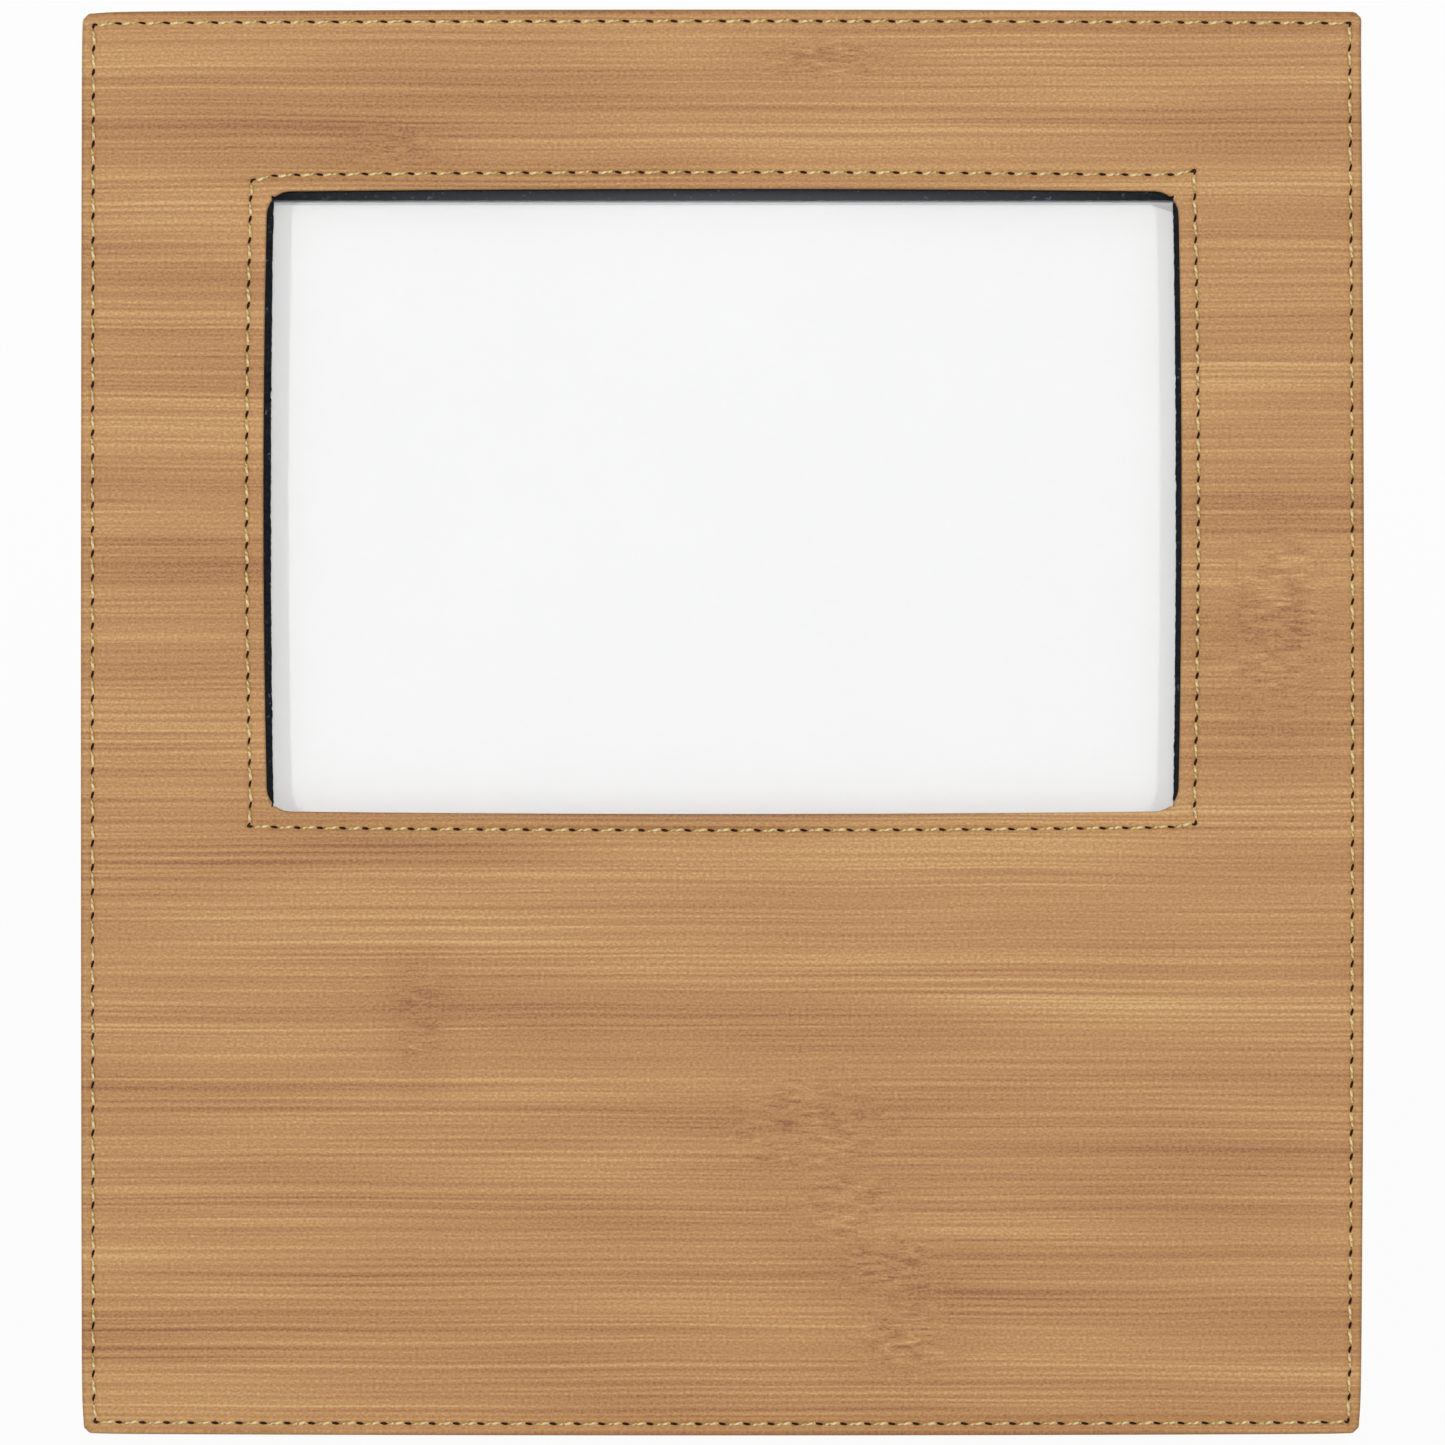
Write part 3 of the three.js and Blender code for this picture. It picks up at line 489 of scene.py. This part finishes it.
def sew(name, seam, seed):
    """Every stitch of a seam, in one mesh."""
    shape = bmesh.new()
    stitch_shape(shape)
    template = bpy.data.meshes.new("stitch")
    shape.to_mesh(template)
    shape.free()
    chance = random.Random(seed)
    bm = bmesh.new()
    for side in range(4):
        for stitch in range(seam.counts[side]):
            start = seam.hole(side, stitch)
            last = stitch + 1 == seam.counts[side]
            end = seam.hole((side + 1) % 4, 0) if last else seam.hole(side, stitch + 1)
            run = end - start
            clear = STITCH_CLEAR * run.length
            first = start + run.normalized() * clear
            length = run.length - 2 * clear
            before = len(bm.verts)
            bm.from_mesh(template)
            bm.verts.ensure_lookup_table()
            place = (
                Matrix.Translation((first.x, chance.uniform(-0.03, 0.03), first.y))
                @ Matrix.Rotation(-math.atan2(run.y, run.x) + chance.uniform(-0.03, 0.03), 4, "Y")
                @ Matrix.Diagonal((length / STITCH_LENGTH, 1, chance.uniform(0.9, 1.1), 1))
            )
            bmesh.ops.transform(bm, matrix=place, verts=bm.verts[before:])
    return finish_mesh(bm, name)


def twisted_thread():
    """Cream three-ply thread with fibres, and painted light and shade: pale where a ply faces the light,
    olive between the plies and towards the end of each stitch.
    """
    made, tree, shader = material("twisted_thread", Roughness=0.6)
    along = add(tree, "Attribute", attribute_name="along").outputs["Vector"]
    parts = add(tree, "SeparateXYZ", {"Vector": along})
    turns = maths(tree, "MULTIPLY", parts.outputs["X"], 0.8)
    spiral = maths(tree, "ADD", turns, parts.outputs["Y"])
    wave = maths(tree, "SINE", maths(tree, "MULTIPLY", spiral, 2 * math.pi))
    fibre = noise(tree, add(tree, "TexCoord").outputs["Object"], 2600.0, 2.0)
    # Painted light and shade: the twist wave pales each ply's crest and darkens between plies. The next
    # line darkens the thread towards the end of the stitch, where it dives into the slit. The fibre noise
    # is the thread's own colour.
    light = maths(tree, "MULTIPLY_ADD", wave, 0.15, fibre)
    light = maths(tree, "MULTIPLY_ADD", parts.outputs["X"], -0.14, light)
    colour = ramp(tree, light, [
        (0.0, (0.3, 0.19, 0.065)),
        (0.2, (0.6, 0.44, 0.18)),
        (0.45, (0.9, 0.74, 0.4)),
    ])
    tree.links.new(colour, shader.inputs["Base Color"])
    bump = add(tree, "Bump", {"Height": wave, "Strength": 0.3, "Distance": 0.08 * MM})
    tree.links.new(bump.outputs["Normal"], shader.inputs["Normal"])
    return made


thread = twisted_thread()
for name, node, seam, seed in (
    ("edge_stitches", "edge_seam", EDGE_SEAM, 3),
    ("window_stitches", "window_seam", WINDOW_SEAM, 5),
):
    stitches = sew(name, seam, seed)
    stitches.data.materials.append(thread)
    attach(stitches, "frame")
    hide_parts(node)


# Front board and body
# A greyboard stiffens the face. The body behind it is routed from one piece of fine fibreboard, with a
# pocket for the glass and a rebate for the back panel, and the cover is glued to it.
def dress(node, finish):
    """Gives a CAD piece its finish."""
    piece = frame["nodes"][node]
    piece.data.materials.clear()
    piece.data.materials.append(finish)


def board_finish(name, colour, fleck, roughness, grain=900.0):
    """Pressed board or paper: a flat colour with fibres in it."""
    made, tree, shader = material(name, Roughness=roughness)
    place = add(tree, "TexCoord").outputs["Object"]
    fibres = noise(tree, place, grain, 4.0, 0.7)
    cloud = noise(tree, place, grain / 30, 3.0)
    mix = maths(tree, "MULTIPLY_ADD", cloud, 0.4, maths(tree, "MULTIPLY", fibres, 0.6))
    colours = ramp(tree, mix, [(0.3, colour), (0.7, fleck)])
    tree.links.new(colours, shader.inputs["Base Color"])
    bump = add(tree, "Bump", {"Height": fibres, "Strength": 0.25, "Distance": 0.05 * MM})
    tree.links.new(bump.outputs["Normal"], shader.inputs["Normal"])
    return made


greyboard = board_finish("greyboard", (0.26, 0.24, 0.2), (0.34, 0.31, 0.27), 0.9)
fibreboard = board_finish("fibreboard", (0.2, 0.11, 0.05), (0.3, 0.18, 0.085), 0.85)
dress("front_board", greyboard)
dress("body_frame", fibreboard)


# Window lining
# A sheet of black paper glued behind the cover. Its torn edge shows as a dark band inside the window,
# widest at the top, where a painted sheen makes it paler towards the middle of the edge.
LINING_SHOWS = (1.3, 1.0, 2.0, -0.4)
LINING_OUTSET = 11
LINING_FRONT, LINING_BACK = 3.0, 3.3
LINING_ROUGHNESS = 0.05


def rough_lining():
    """A flat ring of paper. Its visible edge is torn a little, more at the sides than at the top."""
    left, right, top, bottom = LINING_SHOWS
    edge = Seam(
        WINDOW_WIDTH - left - right, WINDOW_HEIGHT - top - bottom, WINDOW_MIDDLE - (top - bottom) / 2,
        60, 40, (0.5, 0.5, 0, 0), {},
    )
    stations = edge.stations()
    chance = random.Random(11)
    torn = [chance.gauss(0, LINING_ROUGHNESS) for _ in stations]
    bm = bmesh.new()
    number = bm.verts.layers.int.new("station")
    painted_sheen = bm.verts.layers.float.new("painted_sheen")
    verts, edges = numbered_ring(bm, len(stations), number)
    first = edges
    for step, (out, depth) in enumerate((
        (0, LINING_FRONT), (2.2, LINING_FRONT), (LINING_OUTSET, LINING_FRONT),
        (LINING_OUTSET, LINING_BACK), (0, LINING_BACK),
    )):
        if step:
            verts, edges = extrude_ring(bm, edges)
        for vert in verts:
            station = stations[vert[number]]
            share = (0.3 if station[0] == 0 else 1) * (out == 0) * (station[2] is None)
            # Painted sheen: 1 along the middle of the top band's edge, falling to 0 at its ends and away
            # from the edge.
            vert[painted_sheen] = math.sin(math.pi * station[1]) * (station[0] == 0 and out == 0)
            flat = edge.bowed(edge.flat(station, out + torn[vert[number]] * share))
            vert.co = Vector((flat.x + (left - right) / 2, depth, flat.y))
    bmesh.ops.bridge_loops(bm, edges=first + edges)
    bmesh.ops.recalc_face_normals(bm, faces=bm.faces)
    return finish_mesh(bm, "torn_lining")


def black_paper():
    """Near black, a little blue, with a painted sheen that pales it along the top edge, and pale fibres
    standing out of it.
    """
    made, tree, shader = material("black_paper", **{"Roughness": 0.9, "Specular IOR Level": 0.1})
    place = add(tree, "TexCoord").outputs["Object"]
    fibres = noise(tree, place, 1500.0, 4.0, 0.7)
    specks = add(tree, "MapRange", {"Value": noise(tree, place, 900.0, 3.0, 0.75), "From Min": 0.63,
                                    "From Max": 0.72}).outputs["Result"]
    dark = ramp(tree, fibres, [(0.35, (0.006, 0.007, 0.009)), (0.7, (0.022, 0.026, 0.031))])
    # Painted sheen: the top band is mixed towards a paler grey where the attribute is set.
    painted_sheen = add(tree, "Attribute", attribute_name="painted_sheen").outputs["Fac"]
    sheen_painted = blend_colours(tree, painted_sheen, dark, (0.085, 0.092, 0.105, 1))
    tree.links.new(blend_colours(tree, specks, sheen_painted, (0.16, 0.19, 0.24, 1)), shader.inputs["Base Color"])
    bump = add(tree, "Bump", {"Height": fibres, "Strength": 0.5, "Distance": 0.1 * MM})
    tree.links.new(bump.outputs["Normal"], shader.inputs["Normal"])
    return made


lining = rough_lining()
lining.data.materials.append(black_paper())
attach(lining, "frame")
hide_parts("window_lining")


# Glass, insert and packing card
# A clear pane, a plain white paper insert that has slipped down a little, and a pale grey card behind it,
# whose grey is painted shade for the gap above the insert.
def clear_glass():
    """Almost invisible from the front, and it mirrors at a slant."""
    made, tree, shader = material("clear_glass", Roughness=0.03, IOR=1.5)
    shader.inputs["Base Color"].default_value = (0.95, 0.98, 0.97, 1)
    rim = add(tree, "LayerWeight", {"Blend": 0.25}).outputs["Fresnel"]
    tree.links.new(maths(tree, "MULTIPLY_ADD", rim, 0.6, 0.02, clamp=True), shader.inputs["Alpha"])
    return made


dress("glass", clear_glass())

INSERT_HALF_WIDTH = 88.9
INSERT_BOTTOM = 102.6
INSERT_TOP = 219.4
INSERT_FRONT, INSERT_BACK = 5.7, 6.0
CORNER_TRIM_START = 76.5
CORNER_TRIM_SLOPE = 0.33
paper = bmesh.new()
bmesh.ops.create_cube(paper, size=1)
size = (2 * INSERT_HALF_WIDTH, INSERT_BACK - INSERT_FRONT, INSERT_TOP - INSERT_BOTTOM)
middle = (0, (INSERT_FRONT + INSERT_BACK) / 2, (INSERT_TOP + INSERT_BOTTOM) / 2)
placed = Matrix.Translation(middle) @ Matrix.Diagonal((*size, 1))
bmesh.ops.transform(paper, matrix=placed, verts=paper.verts)
trimmed = bmesh.ops.bisect_plane(
    paper, geom=[*paper.verts, *paper.edges, *paper.faces], clear_outer=True,
    plane_co=(CORNER_TRIM_START, 0, INSERT_TOP), plane_no=(CORNER_TRIM_SLOPE, 0, 1),
)
cut_edges = [item for item in trimmed["geom_cut"] if isinstance(item, bmesh.types.BMEdge)]
bmesh.ops.holes_fill(paper, edges=cut_edges)
bmesh.ops.recalc_face_normals(paper, faces=paper.faces)
insert = finish_mesh(paper, "blank_insert")
insert.data.polygons.foreach_set("use_smooth", [False] * len(insert.data.polygons))
white_paper = board_finish("white_paper", (0.865, 0.862, 0.862), (0.885, 0.882, 0.882), 0.8)
insert.data.materials.append(white_paper)
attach(insert, "frame")
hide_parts("photo_insert")
# Painted shade: the card is made greyer than pale card to stand in for the shade where it shows above the
# insert.
pale_card = board_finish("pale_card", (0.66, 0.66, 0.68), (0.73, 0.73, 0.75), 0.9)
dress("packing_card", pale_card)


# Back panel, turn buttons and easel leg
# Black-covered hardboard, held in its rebate by plated turn buttons on screws, and a leg of the same
# board riveted to a plated hinge.
black_board = board_finish("black_covered_board", (0.01, 0.01, 0.011), (0.022, 0.022, 0.024), 0.75, 1500.0)
dress("back_panel", black_board)
dress("easel_leg", black_board)


def plated_steel():
    """Nickel plate: bright, with faint brushing."""
    made, tree, shader = material("plated_steel", Metallic=1.0, Roughness=0.32)
    shader.inputs["Base Color"].default_value = (0.62, 0.61, 0.58, 1)
    place = add(tree, "TexCoord").outputs["Object"]
    brushed = noise(tree, stretch(tree, place, (200, 4000, 4000)), 1.0, 2.0)
    bump = add(tree, "Bump", {"Height": brushed, "Strength": 0.1, "Distance": 0.02 * MM})
    tree.links.new(bump.outputs["Normal"], shader.inputs["Normal"])
    return made


steel = plated_steel()
STEEL_PIECES = ("turn_button", "screw", "panel_leaf", "leg_leaf", "hinge_pin", "panel_rivet", "leg_rivet")
for node in frame["nodes"]:
    if node.startswith(STEEL_PIECES):
        dress(node, steel)


# Floor, light and camera
# A pale table under a plain white surround, a soft light from each side, and a long lens square to the
# leaning face, as the photograph was taken.
FLOOR_SIZE = 3
FLOOR_COLOUR = (0.66, 0.66, 0.66, 1)
FLOOR_WHITENESS = 0.95
WHITE = (1, 1, 1, 1)
WORLD_LIGHT = 0.045


def seen_rays(tree):
    """1 for the rays that show the background to the camera, straight, mirrored or through glass."""
    rays = add(tree, "LightPath").outputs
    seen = maths(tree, "MAXIMUM", rays["Is Camera Ray"], rays["Is Glossy Ray"])
    return maths(tree, "MAXIMUM", seen, rays["Is Transmission Ray"])


def pale_floor():
    """White to the camera, and lit like pale card, so that the object keeps its shadow on it."""
    made = bpy.data.materials.new("pale_floor")
    made.use_nodes = True
    tree = made.node_tree
    tree.nodes.clear()
    share = maths(tree, "MULTIPLY", seen_rays(tree), FLOOR_WHITENESS)
    card = add(tree, "BsdfDiffuse", {"Color": FLOOR_COLOUR})
    glow = add(tree, "Emission", {"Color": WHITE, "Strength": 1.0})
    mixed = add(tree, "MixShader", {0: share, 1: card.outputs[0], 2: glow.outputs[0]})
    add(tree, "OutputMaterial", {"Surface": mixed.outputs[0]})
    return made


floor_mesh = bmesh.new()
bmesh.ops.create_grid(floor_mesh, x_segments=1, y_segments=1, size=FLOOR_SIZE)
floor_data = bpy.data.meshes.new("floor")
floor_mesh.to_mesh(floor_data)
floor_mesh.free()
floor = bpy.data.objects.new("floor", floor_data)
bpy.context.scene.collection.objects.link(floor)
floor_data.materials.append(pale_floor())

world = bpy.data.worlds.new("studio")
bpy.context.scene.world = world
world.use_nodes = True
sky = world.node_tree
sky.nodes.clear()
strength = maths(sky, "MULTIPLY_ADD", seen_rays(sky), 1 - WORLD_LIGHT, WORLD_LIGHT)
glow = add(sky, "Background", {"Color": WHITE, "Strength": strength})
add(sky, "OutputWorld", {"Surface": glow.outputs[0]})

FACE_CENTRE = LEAN @ Vector((0, 0, HEIGHT / 2))


def lamp(name, azimuth, elevation, distance, size, power):
    """A square soft light aimed at the middle of the face. Its angles are from the face's own normal."""
    a, e = math.radians(azimuth), math.radians(elevation)
    towards = RIGHT * math.sin(a) * math.cos(e) - BACK * math.cos(a) * math.cos(e) + UP * math.sin(e)
    light = bpy.data.lights.new(name, "AREA")
    light.size = size
    light.energy = power
    holder = bpy.data.objects.new(name, light)
    holder.location = FACE_CENTRE + towards * distance
    holder.rotation_euler = (-towards).to_track_quat("-Z", "Y").to_euler()
    bpy.context.scene.collection.objects.link(holder)


lamp("left_softbox", -40, 3, 2.4, 0.12, 11.4)
lamp("right_softbox", 36, 3, 2.4, 0.12, 8.6)
lamp("top_softbox", 0, 26, 2.4, 0.2, 2.3)
lamp("front_fill", 0, 5.5, 5.0, 0.2, 105)
lamp("rear_left_softbox", -142, 25, 2.4, 0.8, 27)
lamp("rear_right_softbox", 150, 35, 2.4, 0.8, 20)

PHOTO_PIXELS = 1445
PIXELS_PER_MM = 5.617
CAMERA_DISTANCE = 1.8
SENSOR_WIDTH = 36
camera_data = bpy.data.cameras.new("camera")
camera = bpy.data.objects.new("camera", camera_data)
bpy.context.scene.collection.objects.link(camera)
camera.location = FACE_CENTRE - BACK * CAMERA_DISTANCE
camera.rotation_euler = BACK.to_track_quat("-Z", "Y").to_euler()
camera_data.sensor_width = SENSOR_WIDTH
camera_data.lens = SENSOR_WIDTH * CAMERA_DISTANCE / (PHOTO_PIXELS / PIXELS_PER_MM * MM)
camera_data.clip_end = 20
bpy.context.scene.camera = camera
bpy.context.scene.view_settings.view_transform = "Standard"
